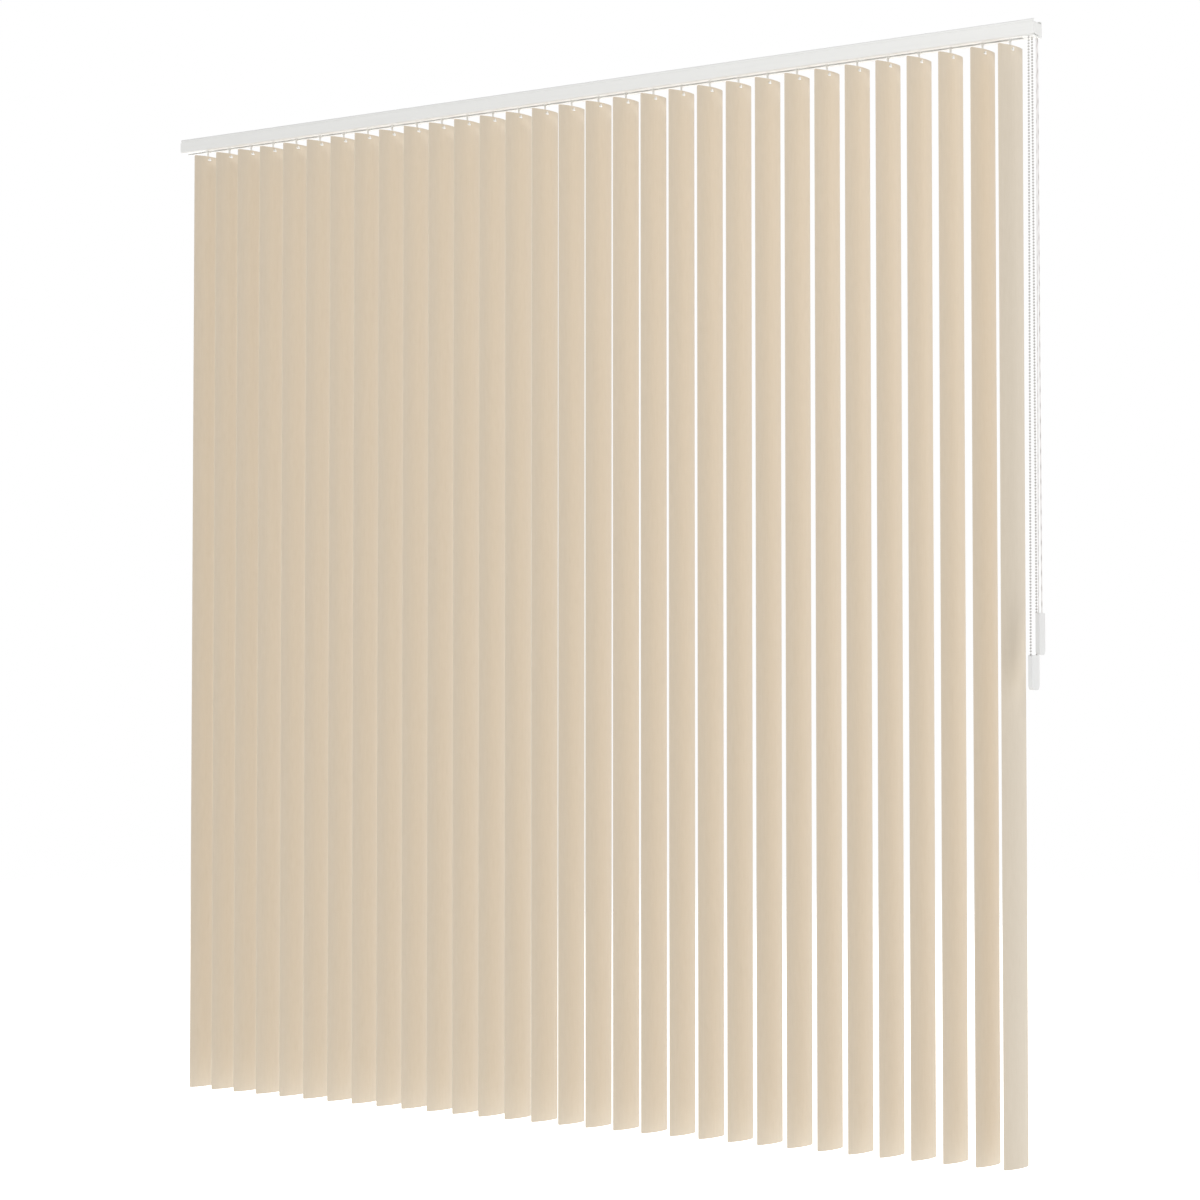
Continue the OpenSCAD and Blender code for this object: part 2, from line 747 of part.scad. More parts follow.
headrail();
ceiling_clips();
end_cap();
control_housing();
carriers();
spacer_links();
cord_clamp();
tilt_rod();
worm_sleeves();
chain_wheel();
bead_chain();
chain_weight();
chain_weight_cover();
guide_pulley_front();
guide_pulley_back();
guide_pulley_pin();
return_pulley();
return_pulley_pin();
rail_cord();
traverse_cord();
cord_weight();
cord_weight_cover();
for (i = [1 : vane_count]) vane(i);
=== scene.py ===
"""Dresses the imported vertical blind: finishes, hanging cord, studio light and camera.

Lengths are metres in the part's own frame: X along the headrail towards the controls, -Y faces
the room, Z up, with the origin in the middle of the headrail's top face.
"""

from __future__ import annotations

import logging
import math
from collections.abc import Callable, Iterable, Mapping
from dataclasses import dataclass, field
from enum import Enum

import bpy
from mathutils import Euler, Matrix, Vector


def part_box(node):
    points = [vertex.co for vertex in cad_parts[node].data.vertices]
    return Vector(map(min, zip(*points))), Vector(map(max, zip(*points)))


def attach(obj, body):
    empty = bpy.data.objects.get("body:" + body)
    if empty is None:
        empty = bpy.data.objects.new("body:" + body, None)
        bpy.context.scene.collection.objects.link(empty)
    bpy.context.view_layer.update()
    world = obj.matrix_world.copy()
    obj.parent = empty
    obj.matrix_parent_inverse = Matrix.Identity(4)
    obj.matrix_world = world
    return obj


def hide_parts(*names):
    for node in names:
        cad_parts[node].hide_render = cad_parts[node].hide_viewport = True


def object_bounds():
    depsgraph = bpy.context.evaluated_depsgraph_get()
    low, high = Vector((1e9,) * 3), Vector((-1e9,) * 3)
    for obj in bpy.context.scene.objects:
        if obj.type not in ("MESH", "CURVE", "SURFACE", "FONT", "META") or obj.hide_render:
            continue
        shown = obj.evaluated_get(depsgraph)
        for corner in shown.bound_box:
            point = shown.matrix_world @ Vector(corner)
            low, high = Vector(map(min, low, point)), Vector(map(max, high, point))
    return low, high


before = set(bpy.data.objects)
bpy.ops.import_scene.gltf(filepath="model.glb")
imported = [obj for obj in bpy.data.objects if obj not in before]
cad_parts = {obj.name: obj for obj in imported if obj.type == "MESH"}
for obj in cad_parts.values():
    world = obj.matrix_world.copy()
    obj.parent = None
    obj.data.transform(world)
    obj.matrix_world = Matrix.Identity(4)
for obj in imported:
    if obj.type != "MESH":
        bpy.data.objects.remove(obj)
CAD_BOX: tuple[Vector, Vector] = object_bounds()

LOG = logging.getLogger("vertical_blind")
MM = 0.001
MICRON = 1e-6
# Octaves of finer noise that every pattern has.
NOISE_DETAIL = 2.0
# Angle by which Blender's wave texture runs on over one unit at a scale of one.
WAVE_RADIANS = 20.0
# Number of the second finish in a mesh that has two.
SECOND_FINISH = 1


class Body(Enum):
    """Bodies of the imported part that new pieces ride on."""

    HEADRAIL = "headrail"


class Slot(Enum):
    """Material slots of the record, by name; no piece here takes its finish from one."""

    CORD = "cord_polyester"


class Side(Enum):
    """The two strands of a hanging loop, by the side that they hang on."""

    ROOM = -1
    WINDOW = 1


def linear(hex_colour: str) -> tuple[float, float, float, float]:
    """Turns an sRGB hex colour into the linear colour that shaders use.

    Args:
        hex_colour: Six hex digits after a hash sign.

    Returns:
        Linear red, green and blue, and an alpha of one.
    """
    shares = [int(hex_colour[i : i + 2], 16) / 255 for i in (1, 3, 5)]
    red, green, blue = (s / 12.92 if s <= 0.04045 else ((s + 0.055) / 1.055) ** 2.4 for s in shares)
    return red, green, blue, 1.0


def per_metre(size_mm: float) -> float:
    """Returns the texture scale, in repeats a metre, of a pattern with this size in millimetres."""
    return 1 / (size_mm * MM)


def add_node(
    tree: bpy.types.NodeTree,
    kind: str,
    settings: Mapping[str, object] | None = None,
    inputs: Mapping[str | int, object] | None = None,
) -> bpy.types.Node:
    """Adds a node, sets its options and fills or links its inputs.

    Args:
        tree: Node tree that gets the node.
        kind: Blender's name of the node type.
        settings: Options of the node, by attribute name.
        inputs: Values, or output sockets to link, by input name or number.

    Returns:
        The new node.
    """
    node = tree.nodes.new(kind)
    for name, value in (settings or {}).items():
        setattr(node, name, value)
    for key, value in (inputs or {}).items():
        if isinstance(value, bpy.types.NodeSocket):
            tree.links.new(value, node.inputs[key])
        else:
            node.inputs[key].default_value = value
    return node


@dataclass(frozen=True)
class Finish:
    """A surface finish: the constant values of its shader, and the nodes of its pattern."""

    name: str
    colour: str
    roughness: float
    ior: float = 1.5
    metallic: float = 0.0

    def material(self) -> bpy.types.Material:
        """Returns the finish's material, made once.

        Returns:
            The material, with its pattern linked to one principled shader.
        """
        made = bpy.data.materials.get(self.name)
        if made is not None:
            return made
        made = bpy.data.materials.new(self.name)
        made.use_nodes = True
        tree = made.node_tree
        tree.nodes.clear()
        shader = add_node(
            tree,
            "ShaderNodeBsdfPrincipled",
            inputs={
                "Base Color": linear(self.colour),
                "Roughness": self.roughness,
                "IOR": self.ior,
                "Metallic": self.metallic,
            },
        )
        add_node(tree, "ShaderNodeOutputMaterial", inputs={"Surface": shader.outputs["BSDF"]})
        self.pattern(tree, shader)
        return made

    def pattern(self, tree: bpy.types.NodeTree, shader: bpy.types.Node) -> None:
        """Adds the nodes that vary the surface; a plain finish has none."""

    def stretched_noise(
        self, tree: bpy.types.NodeTree, sizes_mm: tuple[float, float, float], turn: float = 0.0
    ) -> bpy.types.NodeSocket:
        """Adds noise whose patches have one size along each axis of the part's frame.

        Args:
            tree: Node tree of the material.
            sizes_mm: Size of a patch along X, Y and Z, in millimetres.
            turn: Angle about Z by which the pattern's X and Y are turned, in radians.

        Returns:
            The noise value, from 0 to 1.
        """
        place = add_node(tree, "ShaderNodeTexCoord")
        turned = add_node(
            tree,
            "ShaderNodeMapping",
            {"vector_type": "TEXTURE"},
            {"Vector": place.outputs["Object"], "Rotation": (0.0, 0.0, turn)},
        )
        scaled = add_node(
            tree,
            "ShaderNodeMapping",
            inputs={"Vector": turned.outputs["Vector"], "Scale": tuple(map(per_metre, sizes_mm))},
        )
        noise = add_node(
            tree,
            "ShaderNodeTexNoise",
            inputs={"Vector": scaled.outputs["Vector"], "Scale": 1.0, "Detail": NOISE_DETAIL},
        )
        return noise.outputs["Fac"]

    def tint(
        self, tree: bpy.types.NodeTree, shader: bpy.types.Node, fac: bpy.types.NodeSocket, other: str
    ) -> None:
        """Mixes the finish's colour with another one by a pattern.

        Args:
            tree: Node tree of the material.
            shader: Principled shader whose base colour is set.
            fac: Pattern value, 0 for the finish's own colour.
            other: The other colour, as sRGB hex.
        """
        mixed = add_node(
            tree,
            "ShaderNodeMix",
            {"data_type": "RGBA"},
            {"Factor": fac, "A": linear(self.colour), "B": linear(other)},
        )
        tree.links.new(mixed.outputs["Result"], shader.inputs["Base Color"])

    def emboss(
        self,
        tree: bpy.types.NodeTree,
        shader: bpy.types.Node,
        height: bpy.types.NodeSocket,
        depth_mm: float,
    ) -> None:
        """Bends the shader's normals by a pattern's height.

        Args:
            tree: Node tree of the material.
            shader: Principled shader whose normal is set.
            height: Pattern value, from 0 to 1.
            depth_mm: Depth of the relief in millimetres.
        """
        bump = add_node(
            tree,
            "ShaderNodeBump",
            inputs={"Height": height, "Strength": 1.0, "Distance": depth_mm * MM},
        )
        tree.links.new(bump.outputs["Normal"], shader.inputs["Normal"])


@dataclass(frozen=True)
class EmbossedPvc(Finish):
    """Extruded PVC sheet, embossed like linen: matt, with soft slubs and a faint mottle.

    Real slubs are under a millimetre wide, so they are drawn a few times coarser to show.
    """

    mottle: str = "#DBCEB9"
    mottle_mm: tuple[float, float, float] = (9.0, 9.0, 26.0)
    slub_mm: float = 3.0
    warp_length_mm: float = 60.0
    weft_length_mm: float = 30.0
    relief_mm: float = 0.12
    turn: float = 0.0

    def pattern(self, tree: bpy.types.NodeTree, shader: bpy.types.Node) -> None:
        """Adds slubs across and along the vane, and a mottle in its colour.

        Args:
            tree: Node tree of the material.
            shader: Principled shader of the material.
        """
        along = (self.slub_mm, self.slub_mm, self.warp_length_mm)
        across = (self.weft_length_mm, self.weft_length_mm, self.slub_mm)
        warp = self.stretched_noise(tree, along, self.turn)
        weft = self.stretched_noise(tree, across, self.turn)
        weave = add_node(tree, "ShaderNodeMath", {"operation": "ADD"}, {0: warp, 1: weft})
        self.emboss(tree, shader, weave.outputs["Value"], self.relief_mm)
        patch = self.stretched_noise(tree, self.mottle_mm, self.turn)
        mottle = add_node(tree, "ShaderNodeMath", {"operation": "MULTIPLY"}, {0: patch, 1: warp})
        self.tint(tree, shader, mottle.outputs["Value"], self.mottle)


@dataclass(frozen=True)
class PowderCoat(Finish):
    """White powder coat on extruded aluminium: satin, with a shallow orange peel."""

    peel_mm: float = 2.5
    drift_mm: tuple[float, float, float] = (180.0, 8.0, 8.0)
    relief_mm: float = 0.03
    shade: str = "#EFEFED"

    def pattern(self, tree: bpy.types.NodeTree, shader: bpy.types.Node) -> None:
        """Adds the orange peel and a slow drift in the paint along the extrusion."""
        self.emboss(tree, shader, self.stretched_noise(tree, (self.peel_mm,) * 3), self.relief_mm)
        self.tint(tree, shader, self.stretched_noise(tree, self.drift_mm), self.shade)


@dataclass(frozen=True)
class MouldedPlastic(Finish):
    """Injection-moulded white plastic: satin, with the fine grain of a spark-eroded mould.

    A real mould's grain is about a tenth of a millimetre, so it is drawn coarser to show.
    """

    grain_mm: float = 0.9
    flow_mm: tuple[float, float, float] = (14.0, 14.0, 30.0)
    relief_mm: float = 0.02
    shade: str = "#EDEDEA"

    def pattern(self, tree: bpy.types.NodeTree, shader: bpy.types.Node) -> None:
        """Adds the mould's grain and faint flow marks in the colour."""
        self.emboss(tree, shader, self.stretched_noise(tree, (self.grain_mm,) * 3), self.relief_mm)
        self.tint(tree, shader, self.stretched_noise(tree, self.flow_mm), self.shade)


@dataclass(frozen=True)
class DrawnMetal(Finish):
    """Bare metal drawn or rolled along X: bright, with fine lines along its length.

    Real drawing lines are under a tenth of a millimetre wide, so they are drawn coarser to show.
    """

    line_mm: float = 0.4
    line_length_mm: float = 90.0
    relief_mm: float = 0.01
    shade: str = "#A9ABAD"

    def pattern(self, tree: bpy.types.NodeTree, shader: bpy.types.Node) -> None:
        """Adds the drawing lines to the normals and the colour.

        Args:
            tree: Node tree of the material.
            shader: Principled shader of the material.
        """
        lines = self.stretched_noise(tree, (self.line_length_mm, self.line_mm, self.line_mm))
        self.emboss(tree, shader, lines, self.relief_mm)
        self.tint(tree, shader, lines, self.shade)


@dataclass(frozen=True)
class BraidedCord(Finish):
    """Braided polyester: soft white, with a crossing braid and a painted shade of pinkish grey in its
    valleys.

    Real strands cross every few millimetres, so the braid is drawn several times coarser to show.
    """

    strand_mm: float = 4.0
    lean_deg: float = 45.0
    coarser: float = 2 * math.pi
    relief_mm: float = 0.12
    painted_valley_shade: str = "#CFCAC8"

    def pattern(self, tree: bpy.types.NodeTree, shader: bpy.types.Node) -> None:
        """Adds two sets of strands that wind opposite ways, from the cord's own UV in metres.

        Args:
            tree: Node tree of the material.
            shader: Principled shader of the material.
        """
        uv = add_node(tree, "ShaderNodeTexCoord").outputs["UV"]
        lean = math.radians(self.lean_deg)
        waves = []
        for wind in (-lean, lean):
            wound = add_node(
                tree,
                "ShaderNodeMapping",
                inputs={"Vector": uv, "Rotation": (0.0, 0.0, wind)},
            )
            wave = add_node(
                tree,
                "ShaderNodeTexWave",
                {"wave_profile": "SIN"},
                {"Vector": wound.outputs["Vector"], "Scale": self.wave_scale(), "Distortion": 0.0},
            )
            waves.append(wave.outputs["Fac"])
        braid = add_node(tree, "ShaderNodeMath", {"operation": "MULTIPLY"}, {0: waves[0], 1: waves[1]})
        self.emboss(tree, shader, braid.outputs["Value"], self.relief_mm)
        # Painted shade: the braid's pattern mixes the cord's white towards a pinkish grey.
        self.tint(tree, shader, braid.outputs["Value"], self.painted_valley_shade)

    def wave_scale(self) -> float:
        """Returns the scale at which Blender's wave texture repeats once for each drawn strand."""
        return 2 * math.pi * per_metre(self.strand_mm * self.coarser) / WAVE_RADIANS


# Angle of the vanes from the headrail at rest, which the sheet's pattern follows.
VANE_TILT = math.radians(74.0)

# Warm beige sheet that scatters most of the light, so gaps between vanes glow.
VANE_PVC = EmbossedPvc("embossed_pvc_sheet", "#E5D9C7", 0.55, 1.53, turn=VANE_TILT)
# Cool white paint that shows the section's edges as soft lines.
RAIL_PAINT = PowderCoat("powder_coated_aluminium", "#F4F4F2", 0.42)
# Brighter and smoother than the paint, so the end pieces stand out a little.
WHITE_PLASTIC = MouldedPlastic("moulded_acetal", "#F6F6F4", 0.38, 1.48)
# Greyer than the end pieces, so a weight's edge reads against its side.
WEIGHT_PLASTIC = MouldedPlastic("moulded_weight_abs", "#EDEDEC", 0.4, 1.53, shade="#E6E6E5")
# White beads greyed all over as painted shade, each with a small highlight.
BEAD_PLASTIC_PAINTED_SHADE = MouldedPlastic("moulded_bead_acetal_painted_shade", "#CFCDCB", 0.25, 1.48, shade="#C4C2C0")
# Thread between the beads, nearly white.
BEAD_STRING = MouldedPlastic("bead_string_polyester", "#F3F2F0", 0.7, 1.5)
# Long soft streaks of drawn aluminium.
ROD_METAL = DrawnMetal("drawn_aluminium", "#C9CACB", 0.32, metallic=1.0)
# Bluish grey of zinc plate on spring steel.
CLIP_METAL = DrawnMetal("zinc_plated_steel", "#BFC3C7", 0.36, metallic=1.0, line_mm=1.2)
# White cord with a painted shade of pinkish grey in the valleys of its braid.
CORD_POLYESTER = BraidedCord("braided_polyester", "#F4F1F0", 0.8, 1.53)
# The same cord in the headrail, too hidden for its braid to show.
RAIL_CORD = MouldedPlastic("rail_cord_polyester", "#F0EDEB", 0.8, 1.53)


def dress(node: str, *finishes: Finish) -> bpy.types.Mesh:
    """Gives a node of the part its finishes.

    Args:
        node: Name of the node.
        finishes: Its finishes, the first one on every face.

    Returns:
        The node's mesh, for choosing the faces of further finishes.
    """
    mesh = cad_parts[node].data
    mesh.materials.clear()
    for finish in finishes:
        mesh.materials.append(finish.material())
    LOG.info("dressed %s with %s", node, ", ".join(f.name for f in finishes))
    return mesh


def paint_faces(mesh: bpy.types.Mesh, chosen: Callable[[bpy.types.MeshPolygon], bool]) -> None:
    """Gives chosen faces the second of the mesh's finishes.

    Args:
        mesh: Mesh whose faces are painted.
        chosen: Test that says whether a face gets the finish.
    """
    for face in mesh.polygons:
        if chosen(face):
            face.material_index = SECOND_FINISH


def solid_of_faces(mesh: bpy.types.Mesh) -> list[int]:
    """Numbers the faces by the separate solid that they belong to.

    Corners at the same place count as one, because the mesh splits them along sharp edges.

    Args:
        mesh: Mesh of one or more closed solids.

    Returns:
        A number for each face, equal for faces of one solid.
    """
    places: dict[tuple[int, ...], int] = {}
    corner = []
    for vertex in mesh.vertices:
        place = tuple(round(c / MICRON) for c in vertex.co)
        corner.append(places.setdefault(place, len(places)))
    root = list(range(len(places)))

    def top(i: int) -> int:
        """Finds the corner that stands for another corner's solid so far.

        Args:
            i: Number of the corner.

        Returns:
            Number of the corner that stands for its solid.
        """
        while root[i] != i:
            root[i] = root[root[i]]
            i = root[i]
        return i

    for face in mesh.polygons:
        first = top(corner[face.vertices[0]])
        for v in face.vertices[1:]:
            root[top(corner[v])] = first
    return [top(corner[face.vertices[0]]) for face in mesh.polygons]


@dataclass
class PhotoCamera:
    """Camera at the photograph's viewing angle, in a square frame."""

    place: tuple[float, float, float] = (3.6680, -5.7358, -1.5652)
    turn_deg: float = 31.934
    pitch_deg: float = 1.998
    lens_mm: float = 79.56
    sensor_mm: float = 36.0
    far_clip: float = 200.0

    def build(self) -> None:
        """Makes the camera and gives it to the scene."""
        data = bpy.data.cameras.new("photo_camera")
        data.lens = self.lens_mm
        data.sensor_width = self.sensor_mm
        data.clip_end = self.far_clip
        camera = bpy.data.objects.new("photo_camera", data)
        camera.location = self.place
        level = math.pi / 2
        camera.rotation_euler = Euler(
            (level + math.radians(self.pitch_deg), 0.0, math.radians(self.turn_deg))
        )
        bpy.context.scene.collection.objects.link(camera)
        bpy.context.scene.camera = camera
        LOG.info("camera at %s", self.place)


@dataclass
class Studio:
    """Glowing pale floor, white surroundings, a soft light high in the room and two behind the blind.

    The surroundings dim overhead, in the room and past the controls. The lights behind the blind fall
    in like a window's: one on the vanes' back halves, one on their hidden sides, which tints neighbours.
    The floor glows more behind the blind, so the back halves brighten downwards.

    Pairs of brightness or of ends of a change go from the room to the back, from the left to the right
    and upwards. The surroundings have a brightness of one where nothing dims them.
    """

    floor_gap: float = 0.30
    floor_radius: float = 14.0
    floor_fade_start: float = 4.0
    floor_steps: int = 96
    floor_colour: str = "#D6D6D4"
    floor_roughness: float = 0.9
    floor_glow: tuple[float, float] = (0.44, 1.15)
    floor_turnover: tuple[float, float] = (-1.0, 1.0)
    room: float = 0.98
    room_turnover: tuple[float, float] = (-0.8, 0.0)
    right: float = 0.39
    right_turnover: tuple[float, float] = (0.0, 0.8)
    overhead: float = 0.35
    overhead_turnover: tuple[float, float] = (0.35, 0.95)
    windows: tuple[tuple[float, float], ...] = ((132.0, 0.66), (217.0, 0.68))
    window_soft_deg: float = 60.0
    light_distance: float = 4.5
    key_turn_deg: float = 45.0
    key_rise: float = 3.0
    key_width: float = 2.0
    key_height: float = 0.6
    key_watts: float = 45.0

    def build(self) -> None:
        """Makes the floor, the surroundings and the lights."""
        self.build_floor()
        self.build_surround()
        self.build_key()
        self.build_windows()
        bpy.context.scene.view_settings.view_transform = "Standard"
        LOG.info("studio built")

    def build_floor(self) -> None:
        """Lays a round floor of lit acrylic below the vanes, which fades out far away."""
        level = CAD_BOX[0].z - self.floor_gap
        turns = [2 * math.pi * k / self.floor_steps for k in range(self.floor_steps)]
        rim = [(self.floor_radius * math.cos(a), self.floor_radius * math.sin(a), level) for a in turns]
        mesh = bpy.data.meshes.new("floor")
        mesh.from_pydata(rim, [], [tuple(range(self.floor_steps))])
        mesh.materials.append(self.floor_material())
        floor = bpy.data.objects.new("floor", mesh)
        bpy.context.scene.collection.objects.link(floor)

    def floor_material(self) -> bpy.types.Material:
        """Makes the floor's material: matt, lit from below, clear towards its rim.

        Returns:
            The material.
        """
        made = bpy.data.materials.new("lit_acrylic_floor")
        made.use_nodes = True
        tree = made.node_tree
        tree.nodes.clear()
        place = add_node(tree, "ShaderNodeTexCoord").outputs["Object"]
        flat = add_node(
            tree, "ShaderNodeVectorMath", {"operation": "MULTIPLY"}, {0: place, 1: (1.0, 1.0, 0.0)}
        )
        far = add_node(
            tree, "ShaderNodeVectorMath", {"operation": "LENGTH"}, {0: flat.outputs["Vector"]}
        )
        fade = (self.floor_fade_start, self.floor_radius)
        clear = self.ramp(tree, far.outputs["Value"], fade, (0.0, 1.0))
        split = add_node(tree, "ShaderNodeSeparateXYZ", inputs={"Vector": place})
        glow = self.ramp(tree, split.outputs["Y"], self.floor_turnover, self.floor_glow)
        acrylic = add_node(
            tree,
            "ShaderNodeBsdfPrincipled",
            inputs={
                "Base Color": linear(self.floor_colour),
                "Roughness": self.floor_roughness,
                "Emission Color": linear("#FFFFFF"),
                "Emission Strength": glow,
            },
        )
        open_air = add_node(tree, "ShaderNodeBsdfTransparent")
        faded = add_node(
            tree,
            "ShaderNodeMixShader",
            inputs={0: clear, 1: acrylic.outputs["BSDF"], 2: open_air.outputs["BSDF"]},
        )
        add_node(tree, "ShaderNodeOutputMaterial", inputs={"Surface": faded.outputs["Shader"]})
        return made

    def build_surround(self) -> None:
        """Lights the scene from all round, by how far a direction points to the room, right and up."""
        world = bpy.data.worlds.new("studio")
        world.use_nodes = True
        tree = world.node_tree
        tree.nodes.clear()
        way = add_node(tree, "ShaderNodeTexCoord")
        split = add_node(tree, "ShaderNodeSeparateXYZ", inputs={"Vector": way.outputs["Generated"]})
        front = self.ramp(tree, split.outputs["Y"], self.room_turnover, (self.room, 1.0))
        up = self.ramp(tree, split.outputs["Z"], self.overhead_turnover, (1.0, self.overhead))
        side = self.ramp(tree, split.outputs["X"], self.right_turnover, (1.0, self.right))
        level = add_node(tree, "ShaderNodeMath", {"operation": "MINIMUM"}, {0: front, 1: side})
        dimmed = add_node(
            tree, "ShaderNodeMath", {"operation": "MULTIPLY"}, {0: level.outputs["Value"], 1: up}
        )
        glow = add_node(
            tree,
            "ShaderNodeBackground",
            inputs={"Color": linear("#FFFFFF"), "Strength": dimmed.outputs["Value"]},
        )
        add_node(tree, "ShaderNodeOutputWorld", inputs={"Surface": glow.outputs["Background"]})
        bpy.context.scene.world = world

    def ramp(
        self,
        tree: bpy.types.NodeTree,
        value: bpy.types.NodeSocket,
        start: tuple[float, float],
        result: tuple[float, float],
    ) -> bpy.types.NodeSocket:
        """Maps a value smoothly from one range to another, held at both ends.

        Args:
            tree: Node tree that gets the node.
            value: Value to map.
            start: Range of the value.
            result: Range of the result.

        Returns:
            The mapped value.
        """
        node = add_node(
            tree,
            "ShaderNodeMapRange",
            {"interpolation_type": "SMOOTHSTEP"},
            {
                "Value": value,
                "From Min": start[0],
                "From Max": start[1],
                "To Min": result[0],
                "To Max": result[1],
            },
        )
        return node.outputs["Result"]

    def build_key(self) -> None:
        """Hangs the soft light high in the room, on the controls' side."""
        data = bpy.data.lights.new("key", "AREA")
        data.shape = "RECTANGLE"
        data.size = self.key_width
        data.size_y = self.key_height
        data.energy = self.key_watts
        self.place_light(data, self.key_turn_deg, self.key_rise)

    def build_windows(self) -> None:
        """Adds the wide lights from behind the blind, each by its angle and strength."""
        for turn_deg, strength in self.windows:
            data = bpy.data.lights.new("window", "SUN")
            data.energy = strength
            data.angle = math.radians(self.window_soft_deg)
            self.place_light(data, turn_deg)

    def place_light(self, data: bpy.types.Light, turn_deg: float, rise: float = 0.0) -> None:
        """Puts a light beside the blind, facing its middle.

        Args:
            data: The light.
            turn_deg: Angle from straight in front of the blind, positive towards its controls.
            rise: Height above the blind's middle.
        """
        light = bpy.data.objects.new(data.name, data)
        turn = math.radians(turn_deg)
        middle = (CAD_BOX[0] + CAD_BOX[1]) / 2
        reach = self.light_distance
        away = Vector((reach * math.sin(turn), -reach * math.cos(turn), rise))
        light.location = middle + away
        light.rotation_euler = away.to_track_quat("Z", "Y").to_euler()
        bpy.context.scene.collection.objects.link(light)


@dataclass
class DrawingCord:
    """The loop of drawing cord that hangs from the controls, with its weight."""

    x: float = 1286.25 * MM
    diameter: float = 2.5 * MM
    middle_y: float = 13.0 * MM
    loop_z: float = -1422.0 * MM
    loop_radius: float = 10.0 * MM
    length: float = 2.796
    down_mm: tuple[tuple[float, float], ...] = (
        (9, -40),
        (9, -80),
        (8.5, -300),
        (7, -700),
        (5, -1050),
        (3.5, -1312),
        (3, -1381),
    )
    turn_steps: int = 8
    sides: int = 12
    ring_gap: float = 12.0 * MM
    weight_nodes: tuple[str, ...] = ("cord_weight", "cord_weight_cover")

    def route(self) -> list[Vector]:
        """Returns the route's points, down the room side, round the weight's loop and up again.

        Returns:
            Points in the part's frame.
        """
        down = [Vector((self.x, y * MM, z * MM)) for y, z in self.down_mm]
        turn = []
        for step in range(self.turn_steps + 1):
            a = math.pi * step / self.turn_steps
            y = self.middle_y - self.loop_radius * math.cos(a)
            turn.append(Vector((self.x, y, self.loop_z - self.loop_radius * math.sin(a))))
        up = [Vector((p.x, 2 * self.middle_y - p.y, p.z)) for p in reversed(down)]
        return down + turn + up

    def centreline(self) -> list[Vector]:
        """Returns the route with long stretches divided, so that the braid's UV runs evenly.

        Returns:
            Points in the part's frame.
        """
        points = self.route()
        line = [points[0]]
        for a, b in zip(points, points[1:]):
            steps = max(1, round((b - a).length / self.ring_gap))
            line.extend(a.lerp(b, k / steps) for k in range(1, steps + 1))
        return line

    def tube(self, line: list[Vector]) -> bpy.types.Mesh:
        """Makes the tube along the cord's line, closed at both ends, with UV in metres.

        Args:
            line: Points of the cord's centreline.

        Returns:
            The tube.
        """
        last = len(line) - 1
        radius = self.diameter / 2
        across = Vector((1.0, 0.0, 0.0))
        corners: list[Vector] = []
        along = [0.0]
        for i, p in enumerate(line):
            ahead = (line[min(i + 1, last)] - line[max(i - 1, 0)]).normalized()
            if i in (0, last):
                ahead = Vector((0.0, 0.0, -1.0 if i == 0 else 1.0))
            side = across.cross(ahead)
            for k in range(self.sides):
                a = 2 * math.pi * k / self.sides
                corners.append(p + radius * (math.cos(a) * across + math.sin(a) * side))
            if i:
                along.append(along[-1] + (p - line[i - 1]).length)
        faces: list[tuple[int, ...]] = []
        for i in range(last):
            near, far = i * self.sides, (i + 1) * self.sides
            for k in range(self.sides):
                after = (k + 1) % self.sides
                faces.append((near + k, near + after, far + after, far + k))
        faces.append(tuple(reversed(range(self.sides))))
        faces.append(tuple(last * self.sides + k for k in range(self.sides)))
        mesh = bpy.data.meshes.new("hanging_cord")
        mesh.from_pydata(corners, [], faces)
        mesh.shade_smooth()
        self.lay_uv(mesh, along)
        LOG.info("built the hanging cord, %.3f m long", along[-1])
        return mesh

    def build(self) -> bpy.types.Object:
        """Makes the cord, hangs it on the headrail's body and hides the traverse cord.

        Returns:
            The cord.
        """
        line = self.centreline()
        cord = bpy.data.objects.new("hanging_cord", self.tube(line))
        bpy.context.scene.collection.objects.link(cord)
        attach(cord, Body.HEADRAIL.value)
        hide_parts("traverse_cord")
        return cord

    def lay_uv(self, mesh: bpy.types.Mesh, along: list[float]) -> None:
        """Gives the tube UV in metres: U round the cord and V along it.

        Args:
            mesh: The tube.
            along: Distance of each ring from the cord's start.
        """
        girth = math.pi * self.diameter
        layer = mesh.uv_layers.new(name="braid")
        for face in mesh.polygons:
            wraps = {v % self.sides for v in face.vertices} == {0, self.sides - 1}
            for i in face.loop_indices:
                ring, k = divmod(mesh.loops[i].vertex_index, self.sides)
                turn = self.sides if wraps and k == 0 else k
                layer.data[i].uv = (girth * turn / self.sides, along[ring])

    def dress(self, cord: bpy.types.Object) -> None:
        """Gives the cord and its run in the headrail their finish."""
        cord.data.materials.append(CORD_POLYESTER.material())
        dress("rail_cord", RAIL_CORD)


@dataclass
class Headrail:
    """The painted section with its clips, end pieces and running gear."""

    painted: tuple[str, ...] = ("headrail", "end_cap")
    plastic: tuple[str, ...] = (
        "control_housing",
        "carriers",
        "cord_clamp",
        "guide_pulley_front",
        "guide_pulley_back",
        "return_pulley",
    )
    steel: tuple[str, ...] = ("ceiling_clips", "spacer_links", "guide_pulley_pin", "return_pulley_pin")

    def dress(self) -> None:
        """Gives the headrail's nodes their finishes."""
        for nodes, finish in (
            (self.painted, RAIL_PAINT),
            (self.plastic, WHITE_PLASTIC),
            (self.steel, CLIP_METAL),
        ):
            for node in nodes:
                dress(node, finish)


@dataclass
class TiltDrive:
    """The rod, its worm sleeves and the chain wheel."""

    rod: str = "tilt_rod"
    plastic: tuple[str, ...] = ("worm_sleeves", "chain_wheel")

    def dress(self) -> None:
        """Gives the drive's nodes their finishes."""
        dress(self.rod, ROD_METAL)
        for node in self.plastic:
            dress(node, WHITE_PLASTIC)


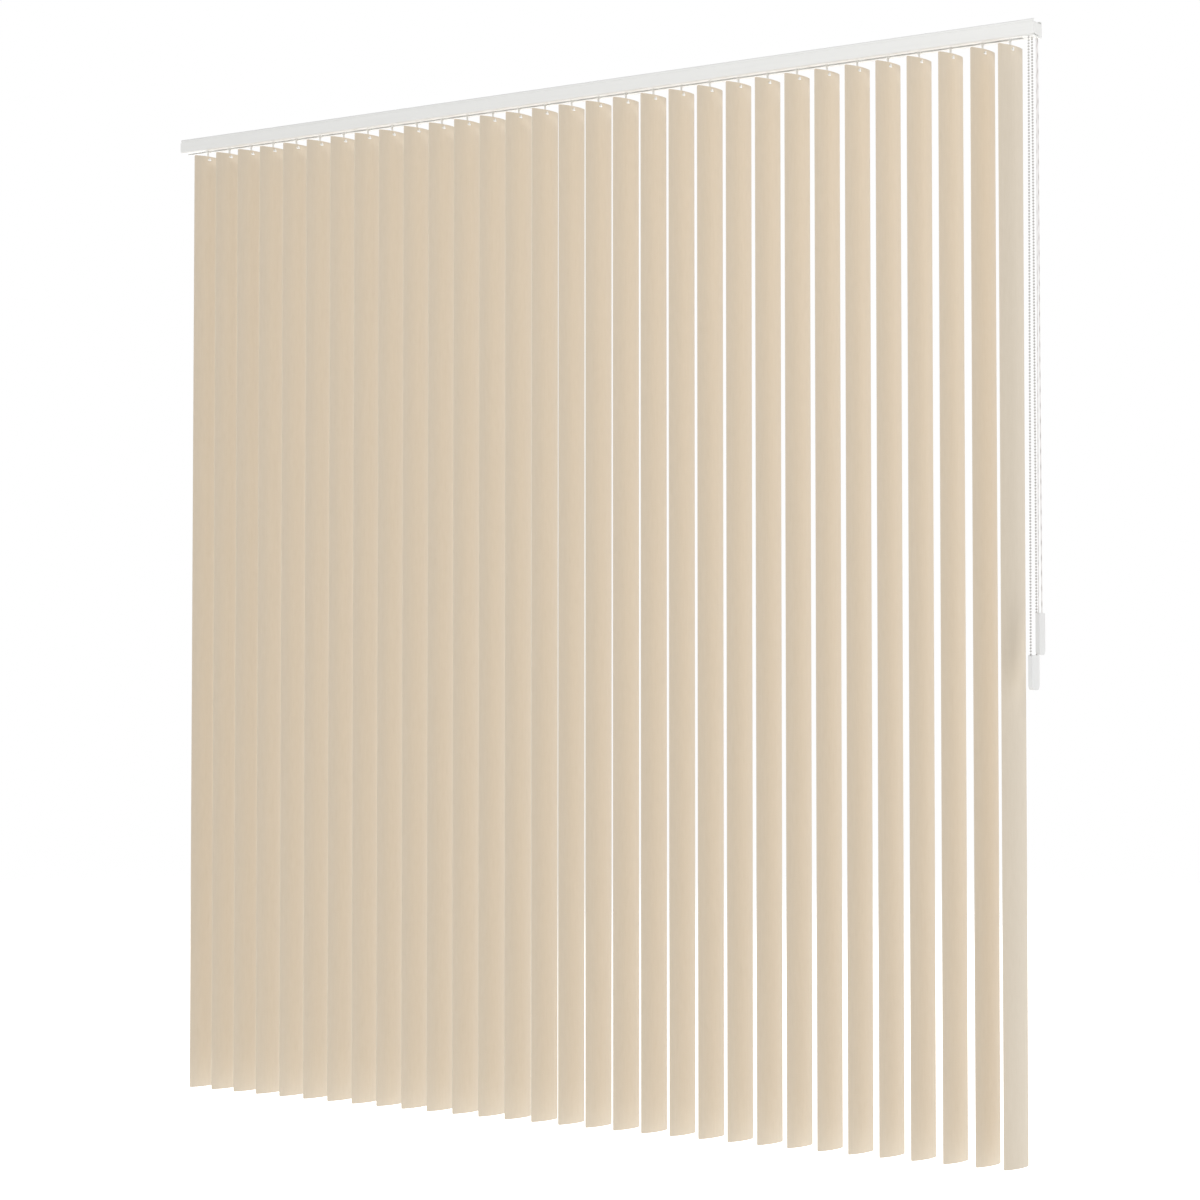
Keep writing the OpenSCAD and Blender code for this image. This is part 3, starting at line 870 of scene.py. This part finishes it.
@dataclass
class BeadChain:
    """The endless bead chain: beads on a thinner string."""

    node: str = "bead_chain"
    wheel: str = "chain_wheel"
    weight: str = "chain_weight"
    string_reach: float = 0.85 * MM
    bead_radius: float = 2.5 * MM

    def strands(self) -> dict[Side, tuple[Vector, Vector]]:
        """Finds the two straight strands between the wheel and the weight's loop.

        Returns:
            The top and bottom of each strand's line.
        """
        low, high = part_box(self.node)
        wheel = sum(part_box(self.wheel), Vector()) / 2
        weight = sum(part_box(self.weight), Vector()) / 2
        x, middle = (low.x + high.x) / 2, (low.y + high.y) / 2
        reach = (high.y - low.y) / 2 - self.bead_radius
        turn = high.z - self.bead_radius - wheel.z
        return {
            side: (
                Vector((x, wheel.y + side.value * turn, wheel.z)),
                Vector((x, middle + side.value * reach, weight.z)),
            )
            for side in Side
        }

    def dress(self) -> None:
        """Gives the beads their finish, and the string between them another."""
        # The beads' grey is painted shade; the string between them stays nearly white.
        mesh = dress(self.node, BEAD_PLASTIC_PAINTED_SHADE, BEAD_STRING)
        lines = list(self.strands().values())

        def on_string(face: bpy.types.MeshPolygon) -> bool:
            """Says whether all corners of a face lie close to a strand's line.

            Args:
                face: Face of the bead chain.

            Returns:
                True for a face of the string, false for one of a bead.
            """
            points = [mesh.vertices[v].co for v in face.vertices]
            for top, bottom in lines:
                way = (bottom - top).normalized()
                if all((p - top).cross(way).length < self.string_reach for p in points):
                    return True
            return False

        paint_faces(mesh, on_string)


@dataclass
class Weights:
    """The two halves of the chain's weight and of the cord's weight."""

    nodes: tuple[str, ...] = ("chain_weight", "chain_weight_cover", "cord_weight", "cord_weight_cover")

    def dress(self) -> None:
        """Gives the weights their finish."""
        for node in self.nodes:
            dress(node, WEIGHT_PLASTIC)


@dataclass
class Vanes:
    """The curved vanes, each with the hanger that it hooks on."""

    prefix: str = "vane_"
    names: list[str] = field(default_factory=list)

    def build(self) -> None:
        """Finds the vanes among the part's nodes."""
        self.names = sorted(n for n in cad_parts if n.startswith(self.prefix))

    def dress(self) -> None:
        """Gives each sheet the embossed finish and each hanger white plastic."""
        for name in self.names:
            mesh = dress(name, VANE_PVC, WHITE_PLASTIC)
            solids = solid_of_faces(mesh)
            lowest = min(mesh.polygons, key=lambda face: face.center.z)
            sheet = solids[lowest.index]
            paint_faces(mesh, lambda face: solids[face.index] != sheet)


def main() -> None:
    """Builds and dresses the blind, then the studio."""
    logging.basicConfig(level=logging.INFO, format="%(name)s: %(message)s")
    PhotoCamera().build()
    drawing_cord = DrawingCord()
    drawing_cord.dress(drawing_cord.build())
    vanes = Vanes()
    vanes.build()
    vanes.dress()
    dressed: Iterable[Headrail | TiltDrive | BeadChain | Weights] = (
        Headrail(),
        TiltDrive(),
        BeadChain(),
        Weights(),
    )
    for assembly in dressed:
        assembly.dress()
    Studio().build()


if __name__ == "__main__":
    main()
